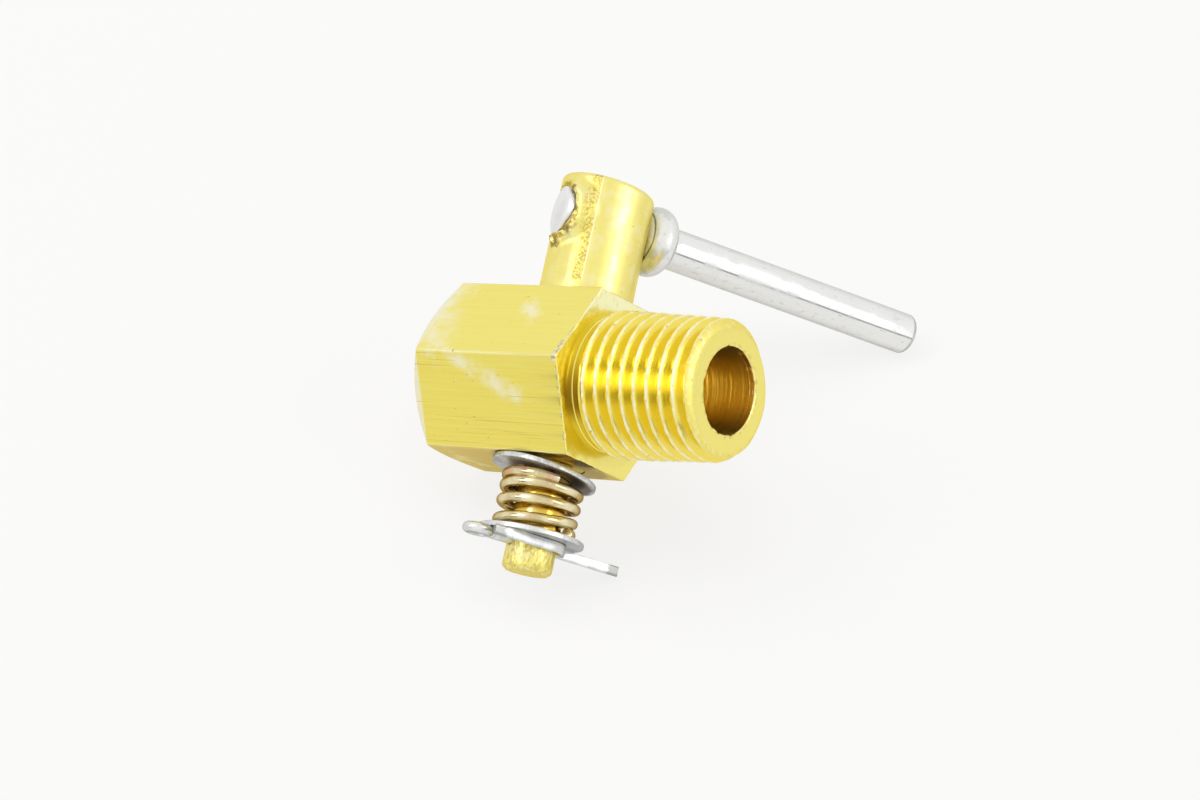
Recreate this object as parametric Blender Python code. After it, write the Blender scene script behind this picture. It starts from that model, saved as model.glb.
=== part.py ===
"""Brass drain cock: a hexagonal body with a male taper thread, and a lever-turned taper plug.

The inlet thread points up (+Z), and the centre of its end face is the origin. The plug crosses the
waterway with its lever head towards -X. A spring under the body pulls the plug into its seat.
"""

import math

import bmesh
import bpy
from mathutils import Matrix, Vector

# Body, in metres
HEX_ACROSS_FLATS = 0.0160
HEX_LENGTH = 0.0173
INLET_LENGTH = 0.0131
INLET_TIP_RADIUS = 0.00655
INLET_TAPER = 1 / 32
INLET_FACE_RADIUS = 0.0053
INLET_CHAMFER = 0.0009
NECK_RADIUS = 0.0063
NECK_LENGTH = 0.0006
OUTLET_FACE_RADIUS = 0.0079
OUTLET_CHAMFER_SLOPE = math.tan(math.radians(30))

# Inlet thread, 18 turns to the inch, cut into the turned inlet
THREAD_PITCH = 0.001411
THREAD_DEPTH = 0.00093
THREAD_CREST = 0.00014
THREAD_ROOT = 0.00021
THREAD_RUN_OUT = 0.0007

# Waterway
INLET_BORE_RADIUS = 0.0040
PORT_RADIUS = 0.0024
OUTLET_BORE_RADIUS = 0.0035
BORE_WEB = 0.0006
DRILL_POINT_SLOPE = math.tan(math.radians(31))

# Plug: heights run along its own axis, from the middle of the waterway towards the head
PLUG_DEPTH = 0.01855
HEAD_RADIUS = 0.00448
HEAD_ABOVE_LEVER = 0.0035
HEAD_EDGE = 0.0006
TAPER_TOP = 0.0086
TAPER_SLOPE = 0.068
TAPER_BOTTOM = -0.0074
STUB_RADIUS = 0.00235
STUB_END = -0.01834
STUB_EDGE = 0.0004
SEAT_CLEARANCE = 0.00003

# Lever, turned from the direction of the inlet as it lies in the photograph
LEVER_ANGLE = math.radians(67.5)
LEVER_HEIGHT = 0.01558
LEVER_REACH = 0.0362
ROD_RADIUS = 0.0020
ROD_EDGE = 0.0006
COLLAR_RADIUS = 0.0034
COLLAR_WIDTH = 0.0030
COLLAR_SEAT = 0.0042
COLLAR_FACE_RADIUS = 0.0029
SPIGOT_RADIUS = 0.0015
RIVET_RADIUS = 0.0024
RIVET_SEAT = 0.00405
RIVET_TOP = 0.0048

# Washers, spring and split pin under the body
WASHER_RADIUS = 0.0050
WASHER_BORE_RADIUS = 0.0027
WASHER_THICKNESS = 0.0005
SPRING_HEIGHT = 0.00605
SPRING_RADIUS = 0.00345
SPRING_WIRE = 0.0009
SPRING_TURNS = 3.88
SPRING_FOOT_ANGLE = math.radians(13)
POINTS_PER_CURL = 10
PIN_RADIUS = 0.0005
PIN_SPLIT = 0.00006
PIN_LEG_REACH = 0.0096
PIN_EYE_RADIUS = 0.00145
PIN_EYE_REACH = 0.0073
PIN_TUCK_REACH = 0.0056

# Fits
RUNNING_GAP = 0.00006
RESTING_GAP = 0.00004

# Facets round a full turn
FINE_STEPS = 64
PLAIN_STEPS = 48

HALF_FLATS = HEX_ACROSS_FLATS / 2
HEX_TOP = -INLET_LENGTH
HEX_BOTTOM = HEX_TOP - HEX_LENGTH
HEAD_TOP = LEVER_HEIGHT + HEAD_ABOVE_LEVER
CUT_PAST = 0.002


def clear_scene():
    for obj in list(bpy.data.objects):
        bpy.data.objects.remove(obj, do_unlink=True)


def metal(name, colour, roughness):
    material = bpy.data.materials.new(name)
    material.use_nodes = True
    shader = material.node_tree.nodes["Principled BSDF"]
    shader.inputs["Base Color"].default_value = (*colour, 1)
    shader.inputs["Metallic"].default_value = 1
    shader.inputs["Roughness"].default_value = roughness
    return material


def place(name, data, material=None, parent=None):
    obj = bpy.data.objects.new(name, data)
    bpy.context.collection.objects.link(obj)
    obj.parent = parent
    if material:
        data.materials.append(material)
    return obj


def mesh_from(name, bm, smooth=True):
    bmesh.ops.remove_doubles(bm, verts=bm.verts, dist=1e-7)
    bmesh.ops.recalc_face_normals(bm, faces=bm.faces)
    for face in bm.faces:
        face.smooth = smooth
    mesh = bpy.data.meshes.new(name)
    bm.to_mesh(mesh)
    bm.free()
    return mesh


def turned(name, profile, steps=PLAIN_STEPS):
    """A solid of revolution about Z from (radius, height) pairs that start and end on the axis,
    or that close on themselves round a bore."""
    bm = bmesh.new()
    points = [bm.verts.new((radius, 0, height)) for radius, height in profile]
    edges = [bm.edges.new(pair) for pair in zip(points, points[1:])]
    if profile[0][0] > 0:
        edges.append(bm.edges.new((points[-1], points[0])))
    bmesh.ops.spin(bm, geom=points + edges, cent=(0, 0, 0), axis=(0, 0, 1),
                   angle=math.tau, steps=steps)
    return mesh_from(name, bm)


def arc(radius, height, size, start, end, count):
    """(radius, height) pairs along a round edge in a profile, between two angles in degrees."""
    turns = [math.radians(start + (end - start) * i / count) for i in range(count + 1)]
    return [(radius + size * math.cos(a), height + size * math.sin(a)) for a in turns]


def combine(obj, tool, operation):
    tool.hide_render = True
    tool.display_type = "WIRE"
    step = obj.modifiers.new(tool.name, "BOOLEAN")
    step.object = tool
    step.operation = operation
    step.solver = "EXACT"


def hexagon_bar():
    """Bar with its corners towards +Y and -Y, so that the plug's flats face -X and +X."""
    bm = bmesh.new()
    corner = HALF_FLATS / math.cos(math.pi / 6)
    middle = Matrix.Translation((0, 0, (HEX_TOP + HEX_BOTTOM) / 2))
    bmesh.ops.create_cone(bm, cap_ends=True, segments=6, radius1=corner, radius2=corner,
                          depth=HEX_LENGTH, matrix=middle)
    return mesh_from("valve_body", bm, smooth=False)


def plug_radius(height):
    return HEAD_RADIUS - (TAPER_TOP - height) * TAPER_SLOPE


def thread_form(groove_end):
    """A rod with a right-hand groove wound round it, which fades out at the height groove_end. Its
    ridges stand proud of the turned inlet, which trims them to flat crests."""
    bm = bmesh.new()
    proud = THREAD_DEPTH * THREAD_CREST / (THREAD_PITCH - THREAD_CREST - THREAD_ROOT)
    first = -math.ceil((INLET_LENGTH + CUT_PAST) / THREAD_PITCH) - 1
    turns = math.ceil(CUT_PAST / THREAD_PITCH) + 1 - first
    steps = turns * PLAIN_STEPS

    def wind(rise, groove, count):
        line = []
        for i in range(count + 1):
            turn = (i + 0.5) / PLAIN_STEPS
            height = (first + turn) * THREAD_PITCH + rise
            cut = groove * min(1, max(0, (height - groove_end) / THREAD_RUN_OUT))
            radius = INLET_TIP_RADIUS - height * INLET_TAPER + proud - cut * (THREAD_DEPTH + proud)
            angle = turn * math.tau
            line.append(bm.verts.new((radius * math.cos(angle), radius * math.sin(angle), height)))
        return line

    ridge = wind(0, 0, steps + PLAIN_STEPS)
    root_start = wind((THREAD_PITCH - THREAD_ROOT) / 2, 1, steps)
    root_end = wind((THREAD_PITCH + THREAD_ROOT) / 2, 1, steps)
    for lower, upper in ((ridge, root_start), (root_start, root_end), (root_end, ridge[PLAIN_STEPS:])):
        for i in range(steps):
            bm.faces.new((lower[i], lower[i + 1], upper[i + 1], upper[i]))
    for i in (0, steps):
        rim = ridge[i:i + PLAIN_STEPS + 1] + [root_end[i], root_start[i]]
        middle = bm.verts.new((0, 0, rim[0].co.z))
        for near, far in zip(rim, rim[1:] + rim[:1]):
            bm.faces.new((middle, near, far))
    return mesh_from("inlet_thread", bm)


def build_body(brass, plug_station):
    """Hexagon bar, chamfered at the outlet, with its threaded inlet, waterway and plug seat."""
    body = place("valve_body", hexagon_bar(), brass)

    bar_reach = HEX_ACROSS_FLATS
    chamfer_start = HEX_BOTTOM + (bar_reach - OUTLET_FACE_RADIUS) * OUTLET_CHAMFER_SLOPE
    envelope = turned("outlet_chamfer", [
        (0, HEX_TOP + CUT_PAST), (bar_reach, HEX_TOP + CUT_PAST), (bar_reach, chamfer_start),
        (OUTLET_FACE_RADIUS - CUT_PAST / OUTLET_CHAMFER_SLOPE, HEX_BOTTOM - CUT_PAST),
        (0, HEX_BOTTOM - CUT_PAST)], FINE_STEPS)
    combine(body, place("outlet_chamfer", envelope), "INTERSECT")

    neck_top = HEX_TOP + NECK_LENGTH
    base_radius = INLET_TIP_RADIUS + (INLET_LENGTH - NECK_LENGTH) * INLET_TAPER
    crest_radius = INLET_TIP_RADIUS + INLET_CHAMFER * INLET_TAPER
    shank = turned("inlet_shank", [
        (0, 0), (INLET_FACE_RADIUS, 0), (crest_radius, -INLET_CHAMFER),
        (base_radius, neck_top + base_radius - NECK_RADIUS), (NECK_RADIUS, neck_top),
        (NECK_RADIUS, HEX_TOP - CUT_PAST), (0, HEX_TOP - CUT_PAST)])
    inlet = place("inlet_shank", shank)
    combine(inlet, place("inlet_thread", thread_form(neck_top)), "INTERSECT")
    combine(body, inlet, "UNION")

    seat_top = HALF_FLATS + CUT_PAST
    seat = turned("plug_seat", [
        (0, seat_top), (plug_radius(seat_top) + SEAT_CLEARANCE, seat_top),
        (plug_radius(-seat_top) + SEAT_CLEARANCE, -seat_top), (0, -seat_top)], FINE_STEPS)
    combine(body, place("plug_seat", seat, parent=plug_station), "DIFFERENCE")

    inlet_floor = -PLUG_DEPTH + HEAD_RADIUS + BORE_WEB
    outlet_floor = -PLUG_DEPTH - HEAD_RADIUS - BORE_WEB
    inlet_point = (INLET_BORE_RADIUS - PORT_RADIUS) * DRILL_POINT_SLOPE
    outlet_point = (OUTLET_BORE_RADIUS - PORT_RADIUS) * DRILL_POINT_SLOPE
    waterway = turned("waterway", [
        (0, CUT_PAST), (INLET_BORE_RADIUS, CUT_PAST),
        (INLET_BORE_RADIUS, inlet_floor + inlet_point), (PORT_RADIUS, inlet_floor),
        (PORT_RADIUS, outlet_floor), (OUTLET_BORE_RADIUS, outlet_floor - outlet_point),
        (OUTLET_BORE_RADIUS, HEX_BOTTOM - CUT_PAST), (0, HEX_BOTTOM - CUT_PAST)])
    combine(body, place("waterway", waterway), "DIFFERENCE")


def cross_cut(plug, name, profile, height, parent):
    """Cuts a turned form along the lever's direction, at a height on the plug's axis."""
    cutter = place(name, turned(name, profile), parent=parent)
    cutter.location = (0, 0, height)
    cutter.rotation_euler = (0, math.pi / 2, 0)
    combine(plug, cutter, "DIFFERENCE")


def straight_drill(radius, reach):
    return [(0, reach), (radius, reach), (radius, -reach), (0, -reach)]


def build_plug(brass, lever_line):
    """Head, ground taper and stub in one turning, cross-drilled for lever, waterway and pin."""
    profile = [(0, HEAD_TOP)]
    profile += arc(HEAD_RADIUS - HEAD_EDGE, HEAD_TOP - HEAD_EDGE, HEAD_EDGE, 90, 0, 4)
    profile += [
        (HEAD_RADIUS, TAPER_TOP), (plug_radius(TAPER_BOTTOM), TAPER_BOTTOM),
        (STUB_RADIUS, TAPER_BOTTOM), (STUB_RADIUS, STUB_END + STUB_EDGE),
        (STUB_RADIUS - STUB_EDGE, STUB_END), (0, STUB_END)]
    plug = place("taper_plug", turned("taper_plug", profile, FINE_STEPS), brass, lever_line)

    past = HEAD_RADIUS + CUT_PAST
    hole = SPIGOT_RADIUS + RUNNING_GAP
    recess = RIVET_RADIUS + RUNNING_GAP
    lever_seat = [
        (0, past), (COLLAR_FACE_RADIUS, past), (COLLAR_FACE_RADIUS, COLLAR_SEAT),
        (hole, COLLAR_SEAT), (hole, -RIVET_SEAT), (recess, -RIVET_SEAT), (recess, -past),
        (0, -past)]
    cross_cut(plug, "lever_seat", lever_seat, LEVER_HEIGHT, lever_line)
    cross_cut(plug, "plug_port", straight_drill(PORT_RADIUS, past), 0, lever_line)
    pin_hole = straight_drill(PIN_RADIUS + RUNNING_GAP, past)
    cross_cut(plug, "pin_hole", pin_hole, pin_height(), lever_line)


def build_lever(steel, lever_line):
    """Rod with an upset collar, a spigot through the head, and a rivet peened on the far side."""
    collar_start = COLLAR_SEAT + RESTING_GAP
    bead = COLLAR_WIDTH / 2
    bead_middle = collar_start + bead
    rivet_base = -RIVET_SEAT - RESTING_GAP
    profile = [(0, LEVER_REACH)]
    profile += arc(ROD_RADIUS - ROD_EDGE, LEVER_REACH - ROD_EDGE, ROD_EDGE, 90, 0, 4)
    profile += arc(COLLAR_RADIUS - bead, bead_middle, bead, 65, -90, 9)
    profile += [
        (SPIGOT_RADIUS, collar_start), (SPIGOT_RADIUS, rivet_base), (RIVET_RADIUS, rivet_base),
        (RIVET_RADIUS, -RIVET_TOP), (0, -RIVET_TOP)]
    lever = place("lever", turned("lever", profile), steel, lever_line)
    lever.location = (0, 0, LEVER_HEIGHT)
    lever.rotation_euler = (0, math.pi / 2, 0)


def upper_washer_top():
    return -HALF_FLATS - RESTING_GAP


def spring_top():
    return upper_washer_top() - WASHER_THICKNESS - RESTING_GAP


def lower_washer_top():
    return spring_top() - SPRING_HEIGHT - RESTING_GAP


def pin_height():
    return lower_washer_top() - WASHER_THICKNESS - RESTING_GAP - PIN_RADIUS


def build_washer(name, top, steel, parent):
    washer = turned(name, [
        (WASHER_RADIUS, 0), (WASHER_RADIUS, -WASHER_THICKNESS),
        (WASHER_BORE_RADIUS, -WASHER_THICKNESS), (WASHER_BORE_RADIUS, 0)])
    place(name, washer, steel, parent).location = (0, 0, top)


def spring_line():
    """Points up the right-hand coil, from its cut foot to its cut top."""
    rise = SPRING_HEIGHT - SPRING_WIRE
    foot = spring_top() - SPRING_HEIGHT + SPRING_WIRE / 2
    count = round(SPRING_TURNS * POINTS_PER_CURL)
    line = []
    for i in range(count + 1):
        share = i / count
        angle = SPRING_FOOT_ANGLE + share * SPRING_TURNS * math.tau
        line.append(Vector((SPRING_RADIUS * math.cos(angle), SPRING_RADIUS * math.sin(angle),
                            foot + share * rise)))
    return line


def least_gap(line, wire):
    """The least clear distance between curls, over points at least half a curl apart."""
    apart = POINTS_PER_CURL // 2
    spans = [(a - b).length for i, a in enumerate(line) for b in line[i + apart:]]
    return min(spans) - wire


def build_spring(steel, plug_station):
    line = spring_line()
    curve = bpy.data.curves.new("spring", "CURVE")
    curve.dimensions = "3D"
    curve.bevel_depth = SPRING_WIRE / 2
    curve.bevel_resolution = 1
    curve.use_fill_caps = True
    spline = curve.splines.new("POLY")
    spline.points.add(len(line) - 1)
    for point, spot in zip(spline.points, line):
        point.co = (*spot, 1)
    spline.use_smooth = True
    place("spring", curve, steel, plug_station)
    print(f"spring: least gap to itself {least_gap(line, SPRING_WIRE) * 1000:.2f} mm")


def bend(centre, radius, start, end, count):
    """Points round a bend of the pin's wire, between two angles in degrees."""
    turns = [math.radians(start + (end - start) * i / count) for i in range(count + 1)]
    return [Vector((centre[0] + radius * math.cos(a), centre[1] + radius * math.sin(a)))
            for a in turns]


def pin_line():
    """The middle of the flat on the half-round wire: along one leg, round the eye and back along
    the other leg, which bends at the stub and is wrapped across its front."""
    half = PIN_SPLIT / 2
    eye = PIN_EYE_RADIUS - PIN_RADIUS
    eye_middle = -PIN_EYE_REACH + PIN_EYE_RADIUS
    neck = math.degrees(math.asin(half / eye))
    knee = PIN_RADIUS + RUNNING_GAP
    tuck = STUB_RADIUS + knee
    wrap = tuck - half - knee
    line = [Vector((PIN_LEG_REACH, half))]
    line += bend((eye_middle, 0), eye, neck, 360 - neck, 16)
    line += bend((STUB_RADIUS, -half - knee), knee, 90, 0, 4)
    line += bend((tuck - wrap, -half - knee), wrap, 0, -90, 6)[1:]
    line.append(Vector((-PIN_TUCK_REACH, -tuck)))
    return line


def build_pin(steel, lever_line):
    """Half-round wire swept along the pin's line, its flat towards the inside of the eye."""
    section = [(0, PIN_RADIUS)]
    section += [(PIN_RADIUS * math.sin(math.radians(a)), PIN_RADIUS * math.cos(math.radians(a)))
                for a in range(30, 180, 30)]
    section += [(0, -PIN_RADIUS)]
    line = pin_line()
    bm = bmesh.new()
    rings = []
    for i, spot in enumerate(line):
        before = (spot - line[i - 1]).normalized() if i else None
        after = (line[i + 1] - spot).normalized() if i + 1 < len(line) else None
        along = ((before or after) + (after or before)).normalized()
        mitre = 1 / along.dot(after or before)
        outward = Vector((along.y, -along.x)) * mitre
        rings.append([bm.verts.new((*(spot + outward * out), up)) for out, up in section])
    for ring, following in zip(rings, rings[1:]):
        for j in range(len(section)):
            k = (j + 1) % len(section)
            bm.faces.new((ring[j], ring[k], following[k], following[j]))
    bm.faces.new(rings[0])
    bm.faces.new(rings[-1])
    pin = place("split_pin", mesh_from("split_pin", bm), steel, lever_line)
    pin.location = (0, 0, pin_height())


def build():
    clear_scene()
    body_brass = metal("drawn_brass", (0.80, 0.62, 0.20), 0.28)
    plug_brass = metal("turned_brass", (0.82, 0.63, 0.18), 0.24)
    rod_zinc = metal("bright_zinc_rod", (0.78, 0.79, 0.80), 0.22)
    upper_zinc = metal("dull_zinc_upper_washer", (0.62, 0.63, 0.65), 0.42)
    lower_zinc = metal("dull_zinc_lower_washer", (0.66, 0.67, 0.68), 0.40)
    spring_zinc = metal("yellow_zinc_spring", (0.70, 0.62, 0.42), 0.34)
    pin_zinc = metal("bright_zinc_pin", (0.74, 0.75, 0.76), 0.32)

    # The plug's axis: local Z towards the head, local X towards the inlet
    plug_station = place("plug_station", None)
    plug_station.location = (0, 0, -PLUG_DEPTH)
    plug_station.rotation_euler = (0, -math.pi / 2, 0)
    lever_line = place("lever_line", None, parent=plug_station)
    lever_line.rotation_euler = (0, 0, LEVER_ANGLE)

    build_body(body_brass, plug_station)
    build_plug(plug_brass, lever_line)
    build_lever(rod_zinc, lever_line)
    build_washer("upper_washer", upper_washer_top(), upper_zinc, plug_station)
    build_spring(spring_zinc, plug_station)
    build_washer("lower_washer", lower_washer_top(), lower_zinc, lever_line)
    build_pin(pin_zinc, lever_line)


build()
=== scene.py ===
import math

import bmesh
import bpy
from mathutils import Matrix, Vector, noise


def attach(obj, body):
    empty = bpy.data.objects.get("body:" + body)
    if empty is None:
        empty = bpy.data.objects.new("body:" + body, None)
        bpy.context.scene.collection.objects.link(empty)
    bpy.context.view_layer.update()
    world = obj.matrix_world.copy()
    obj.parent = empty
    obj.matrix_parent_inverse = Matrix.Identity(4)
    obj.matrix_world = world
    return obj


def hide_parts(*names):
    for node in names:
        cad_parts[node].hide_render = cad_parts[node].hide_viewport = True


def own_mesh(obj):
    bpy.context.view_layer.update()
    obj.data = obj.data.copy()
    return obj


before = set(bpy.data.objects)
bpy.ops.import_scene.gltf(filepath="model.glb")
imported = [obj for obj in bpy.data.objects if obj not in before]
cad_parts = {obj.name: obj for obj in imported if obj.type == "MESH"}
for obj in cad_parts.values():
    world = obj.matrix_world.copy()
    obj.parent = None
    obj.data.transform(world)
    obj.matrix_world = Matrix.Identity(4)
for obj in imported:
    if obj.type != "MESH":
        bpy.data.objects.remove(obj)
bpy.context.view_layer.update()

# The valve lies on its side on a white table, seen from above and in front with the inlet to the
# right. The camera stands about 0.31 m off with a long lens, rolled so that the plug's head is up.
camera = bpy.data.objects.new("camera", bpy.data.cameras.new("camera"))
bpy.context.collection.objects.link(camera)
camera.data.lens = 105
camera.data.sensor_width = 36
camera.data.clip_start, camera.data.clip_end = 0.01, 20
camera_right = Vector((-0.2057, 0.5717, 0.7943))
camera_up = Vector((-0.9579, -0.2837, -0.0439))
camera_back = Vector((0.2002, -0.7699, 0.6060))
camera_spot = Vector((0.0662, -0.2487, 0.18145))
camera.matrix_world = Matrix.LocRotScale(
    camera_spot, Matrix((camera_right, camera_up, camera_back)).transposed().to_quaternion(), None)
bpy.context.scene.camera = camera
bpy.context.scene.view_settings.view_transform = "Standard"


# The table top: a plain white sheet, tilted in the valve's own frame, which touches the body's back
# corner, the lever's end and the pin's long leg. Seen from underneath it isn't there.
class Value:
    """A socket on its way through a node tree. Sums on it add Math nodes to that tree."""

    def __init__(self, tree, socket=None):
        self.tree, self.socket = tree, socket

    def node(self, kind, settings=None, sockets=None, pick=0):
        made = self.tree.nodes.new(kind)
        for name, setting in (settings or {}).items():
            if name == "bends":
                points = made.mapping.curves[0].points
                while len(points) < len(setting):
                    points.new(0.5, 0.5)
                for point, spot in zip(points, setting):
                    point.location = spot
                    point.handle_type = "AUTO_CLAMPED"
                made.mapping.update()
            else:
                setattr(made, name, setting)
        for key, value in (sockets or {}).items():
            slot = made.inputs[key]
            if isinstance(value, Value):
                self.tree.links.new(value.socket, slot)
            else:
                slot.default_value = value
        return Value(self.tree, made.outputs[pick])

    def math(self, operation, *values):
        return self.node("ShaderNodeMath", {"operation": operation}, dict(enumerate(values)))

    def __add__(self, other):
        return self.math("ADD", self, other)

    def __sub__(self, other):
        return self.math("SUBTRACT", self, other)

    def __rsub__(self, other):
        return self.math("SUBTRACT", other, self)

    def __mul__(self, other):
        return self.math("MULTIPLY", self, other)

    def __truediv__(self, other):
        return self.math("DIVIDE", self, other)

    __radd__ = __add__
    __rmul__ = __mul__

    def hypot(self, other):
        squares = self * self + other * other
        return squares.math("SQRT", squares)

    def at_least(self, other):
        return self.math("MAXIMUM", self, other)

    def clamped(self, high=1.0):
        return self.node("ShaderNodeClamp", None, {0: self, 1: 0.0, 2: high})


def seen_directly(start):
    """Rays from the camera, and rays by which a mirror or a glass shows what is round it."""
    path = start.node("ShaderNodeLightPath").socket.node.outputs
    eye, glossy, clear = (Value(start.tree, path["Is " + kind + " Ray"])
                          for kind in ("Camera", "Glossy", "Transmission"))
    return eye, glossy.at_least(clear)


table_up = Vector((-0.4423, -0.7482, 0.4946)).normalized()
table_spot = Vector((0.0097, 0.0164, -0.0109))
table_reach = 1.2
table_turn = table_up.to_track_quat("Z", "Y").to_matrix().to_4x4()
table_place = Matrix.Translation(table_spot) @ table_turn
bm = bmesh.new()
bmesh.ops.create_circle(bm, cap_ends=True, segments=96, radius=table_reach, matrix=table_place)
bmesh.ops.recalc_face_normals(bm, faces=bm.faces)
if bm.faces[:][0].normal.dot(table_up) < 0:
    bmesh.ops.reverse_faces(bm, faces=bm.faces)
table_mesh = bpy.data.meshes.new("table")
bm.to_mesh(table_mesh)
bm.free()
table = bpy.data.objects.new("table", table_mesh)
bpy.context.collection.objects.link(table)

table_white = bpy.data.materials.new("table_white")
table_white.use_nodes = True
tree = table_white.node_tree
tree.nodes.remove(tree.nodes["Principled BSDF"])
start = Value(tree)
by_eye, by_mirror = seen_directly(start)
sheet = start.node("ShaderNodeBsdfDiffuse", None, {"Color": (0.82, 0.805, 0.785, 1)})
glow = start.node("ShaderNodeEmission", None, {
    "Color": (1, 1, 1, 1), "Strength": 0.995 * by_eye + 1.05 * by_mirror})
glow_share = 0.80 * by_eye + 0.50 * by_mirror
front = start.node("ShaderNodeMixShader", None, {0: glow_share, 1: sheet, 2: glow})
under = start.node("ShaderNodeBsdfTransparent")
backfacing = 6
behind = start.node("ShaderNodeNewGeometry", pick=backfacing)
whole = start.node("ShaderNodeMixShader", None, {0: behind, 1: front, 2: under})
tree.links.new(whole.socket, tree.nodes["Material Output"].inputs["Surface"])
table_mesh.materials.append(table_white)


# Studio light: a white tent all round, a broad lamp overhead, one from the right and two from the
# left, with cards that only the metal sees, to draw its edges. None is part of the valve.
world = bpy.data.worlds.new("white_tent")
bpy.context.scene.world = world
world.use_nodes = True
tent = Value(world.node_tree)
by_eye, by_mirror = seen_directly(tent)
tent_strength = 0.45 + 0.52 * (by_eye + by_mirror)
tent_light = world.node_tree.nodes["Background"]
tent_light.inputs["Color"].default_value = (1, 1, 1, 1)
world.node_tree.links.new(tent_strength.socket, tent_light.inputs["Strength"])
valve_middle = Vector((0, 0, -0.016))


def stand(direction, distance):
    """Where a lamp or card stands that faces the valve, upright as the camera sees it."""
    across, upward, near = direction
    out = (across * camera_right + upward * camera_up + near * camera_back).normalized()
    side = camera_up.cross(out).normalized()
    turn = Matrix((side, out.cross(side), out)).transposed()
    return Matrix.LocRotScale(valve_middle + out * distance, turn.to_quaternion(), None)


def softbox(name, direction, distance, size, brightness):
    lamp = bpy.data.lights.new(name, "AREA")
    lamp.shape = "RECTANGLE"
    lamp.size, lamp.size_y = size
    lamp.energy = brightness * math.pi * size[0] * size[1]
    box = bpy.data.objects.new(name, lamp)
    bpy.context.collection.objects.link(box)
    box.matrix_world = stand(direction, distance)
    box.visible_camera = False
    return box


softbox("right_box", (0.79, 0.24, 0.56), 0.60, (0.24, 0.20), 3.0)
softbox("left_box", (-0.60, 0.47, 0.65), 0.60, (0.22, 0.40), 2.1)
softbox("low_left_box", (-0.82, 0.17, 0.53), 0.60, (0.21, 0.20), 1.35)
overhead = softbox("overhead", (-0.15, 0.75, 0.65), 0.60, (0.60, 0.40), 2.1)
overhead.visible_glossy = False


def card(name, direction, distance, size, brightness):
    """A white or grey card that lights nothing and is seen only in the metal."""
    bm = bmesh.new()
    bmesh.ops.create_grid(bm, x_segments=1, y_segments=1, size=0.5,
                          matrix=stand(direction, distance) @ Matrix.Diagonal((*size, 1, 1)))
    mesh = bpy.data.meshes.new(name)
    bm.to_mesh(mesh)
    bm.free()
    paper = bpy.data.materials.new(name)
    paper.use_nodes = True
    nodes = paper.node_tree.nodes
    nodes.remove(nodes["Principled BSDF"])
    glow = Value(paper.node_tree).node(
        "ShaderNodeEmission", None, {"Color": (1, 1, 1, 1), "Strength": brightness})
    paper.node_tree.links.new(glow.socket, nodes["Material Output"].inputs["Surface"])
    mesh.materials.append(paper)
    piece = bpy.data.objects.new(name, mesh)
    bpy.context.collection.objects.link(piece)
    piece.visible_camera = piece.visible_diffuse = piece.visible_shadow = False


card("right_strip", (0.87, 0.05, 0.46), 0.66, (0.22, 0.64), 1.20)
card("right_edge", (0.72, -0.47, 0.51), 0.50, (0.30, 0.060), 0.30)
card("low_left_card", (-0.82, -0.24, 0.48), 0.50, (0.18, 0.15), 0.22)
card("high_left_card", (-0.74, 0.54, 0.40), 0.50, (0.18, 0.12), 0.22)


# Valve body: a length of drawn brass hexagon bar, faced and chamfered at the outlet, turned down at
# the inlet, where a taper pipe thread is cut, bored from both ends and reamed across for the plug.
mm = 0.001
column_step, corner_arc = 1.5, 0.78
body_columns = sorted({round(column_step * i, 4) for i in range(240)} | {
    round(30 + 60 * k + corner_arc * d / 3, 4) for k in range(6) for d in (-3, -2, -1, 1, 2, 3)})
hex_half = 8.0 * mm
hex_corner_round = 0.25 * mm
hex_top = -13.1 * mm
hex_bottom = -30.4 * mm
outlet_face_radius = 7.9 * mm
bore_radius, waist_radius, outlet_bore = 4.0 * mm, 2.4 * mm, 3.5 * mm
neck_radius = 6.3 * mm
worn_end_radius, worn_end_length = 5.3 * mm, 0.9 * mm
thread_length = 12.5 * mm
thread_pitch = 1.411 * mm
thread_depth = 0.93 * mm
thread_tip_radius = 6.55 * mm
thread_taper = 1 / 32
plug_depth = 18.55 * mm
taper_top, taper_slope, head_radius = 8.6 * mm, 0.068, 4.48 * mm


def hex_reach(degrees):
    """Distance from the bar's middle to its surface, with its six corners slightly rounded."""
    off_corner = abs((degrees % 60) - 30)
    middle = (hex_half - hex_corner_round) / math.cos(math.pi / 6)
    turn = math.radians(off_corner)
    if off_corner <= corner_arc:
        return middle * math.cos(turn) + math.sqrt(
            hex_corner_round ** 2 - (middle * math.sin(turn)) ** 2)
    return hex_half / math.cos(math.radians(30 - off_corner))


def loft(name, rings, ring_round=False, matrix=None, sharp=35):
    """A mesh of quads between rings of points. A ring of one point is a pole, and ring_round joins
    the last ring to the first, round a bore."""
    bm = bmesh.new()
    place = matrix or Matrix.Identity(4)
    made = [[bm.verts.new(place @ Vector(point)) for point in ring] for ring in rings]
    pairs = list(zip(made, made[1:])) + ([(made[-1], made[0])] if ring_round else [])
    for low, high in pairs:
        count = max(len(low), len(high))
        for i in range(count):
            j = (i + 1) % count
            face = [low[i % len(low)], low[j % len(low)], high[j % len(high)], high[i % len(high)]]
            bm.faces.new(list(dict.fromkeys(face)))
    bmesh.ops.recalc_face_normals(bm, faces=bm.faces)
    mesh = bpy.data.meshes.new(name)
    bm.to_mesh(mesh)
    bm.free()
    return finish_shading(mesh, sharp)


def finish_shading(mesh, sharp):
    mesh.shade_smooth()
    mesh.set_sharp_from_angle(angle=math.radians(sharp))
    return mesh


def put(name, mesh):
    piece = bpy.data.objects.new(name, mesh)
    bpy.context.collection.objects.link(piece)
    return piece


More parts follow.
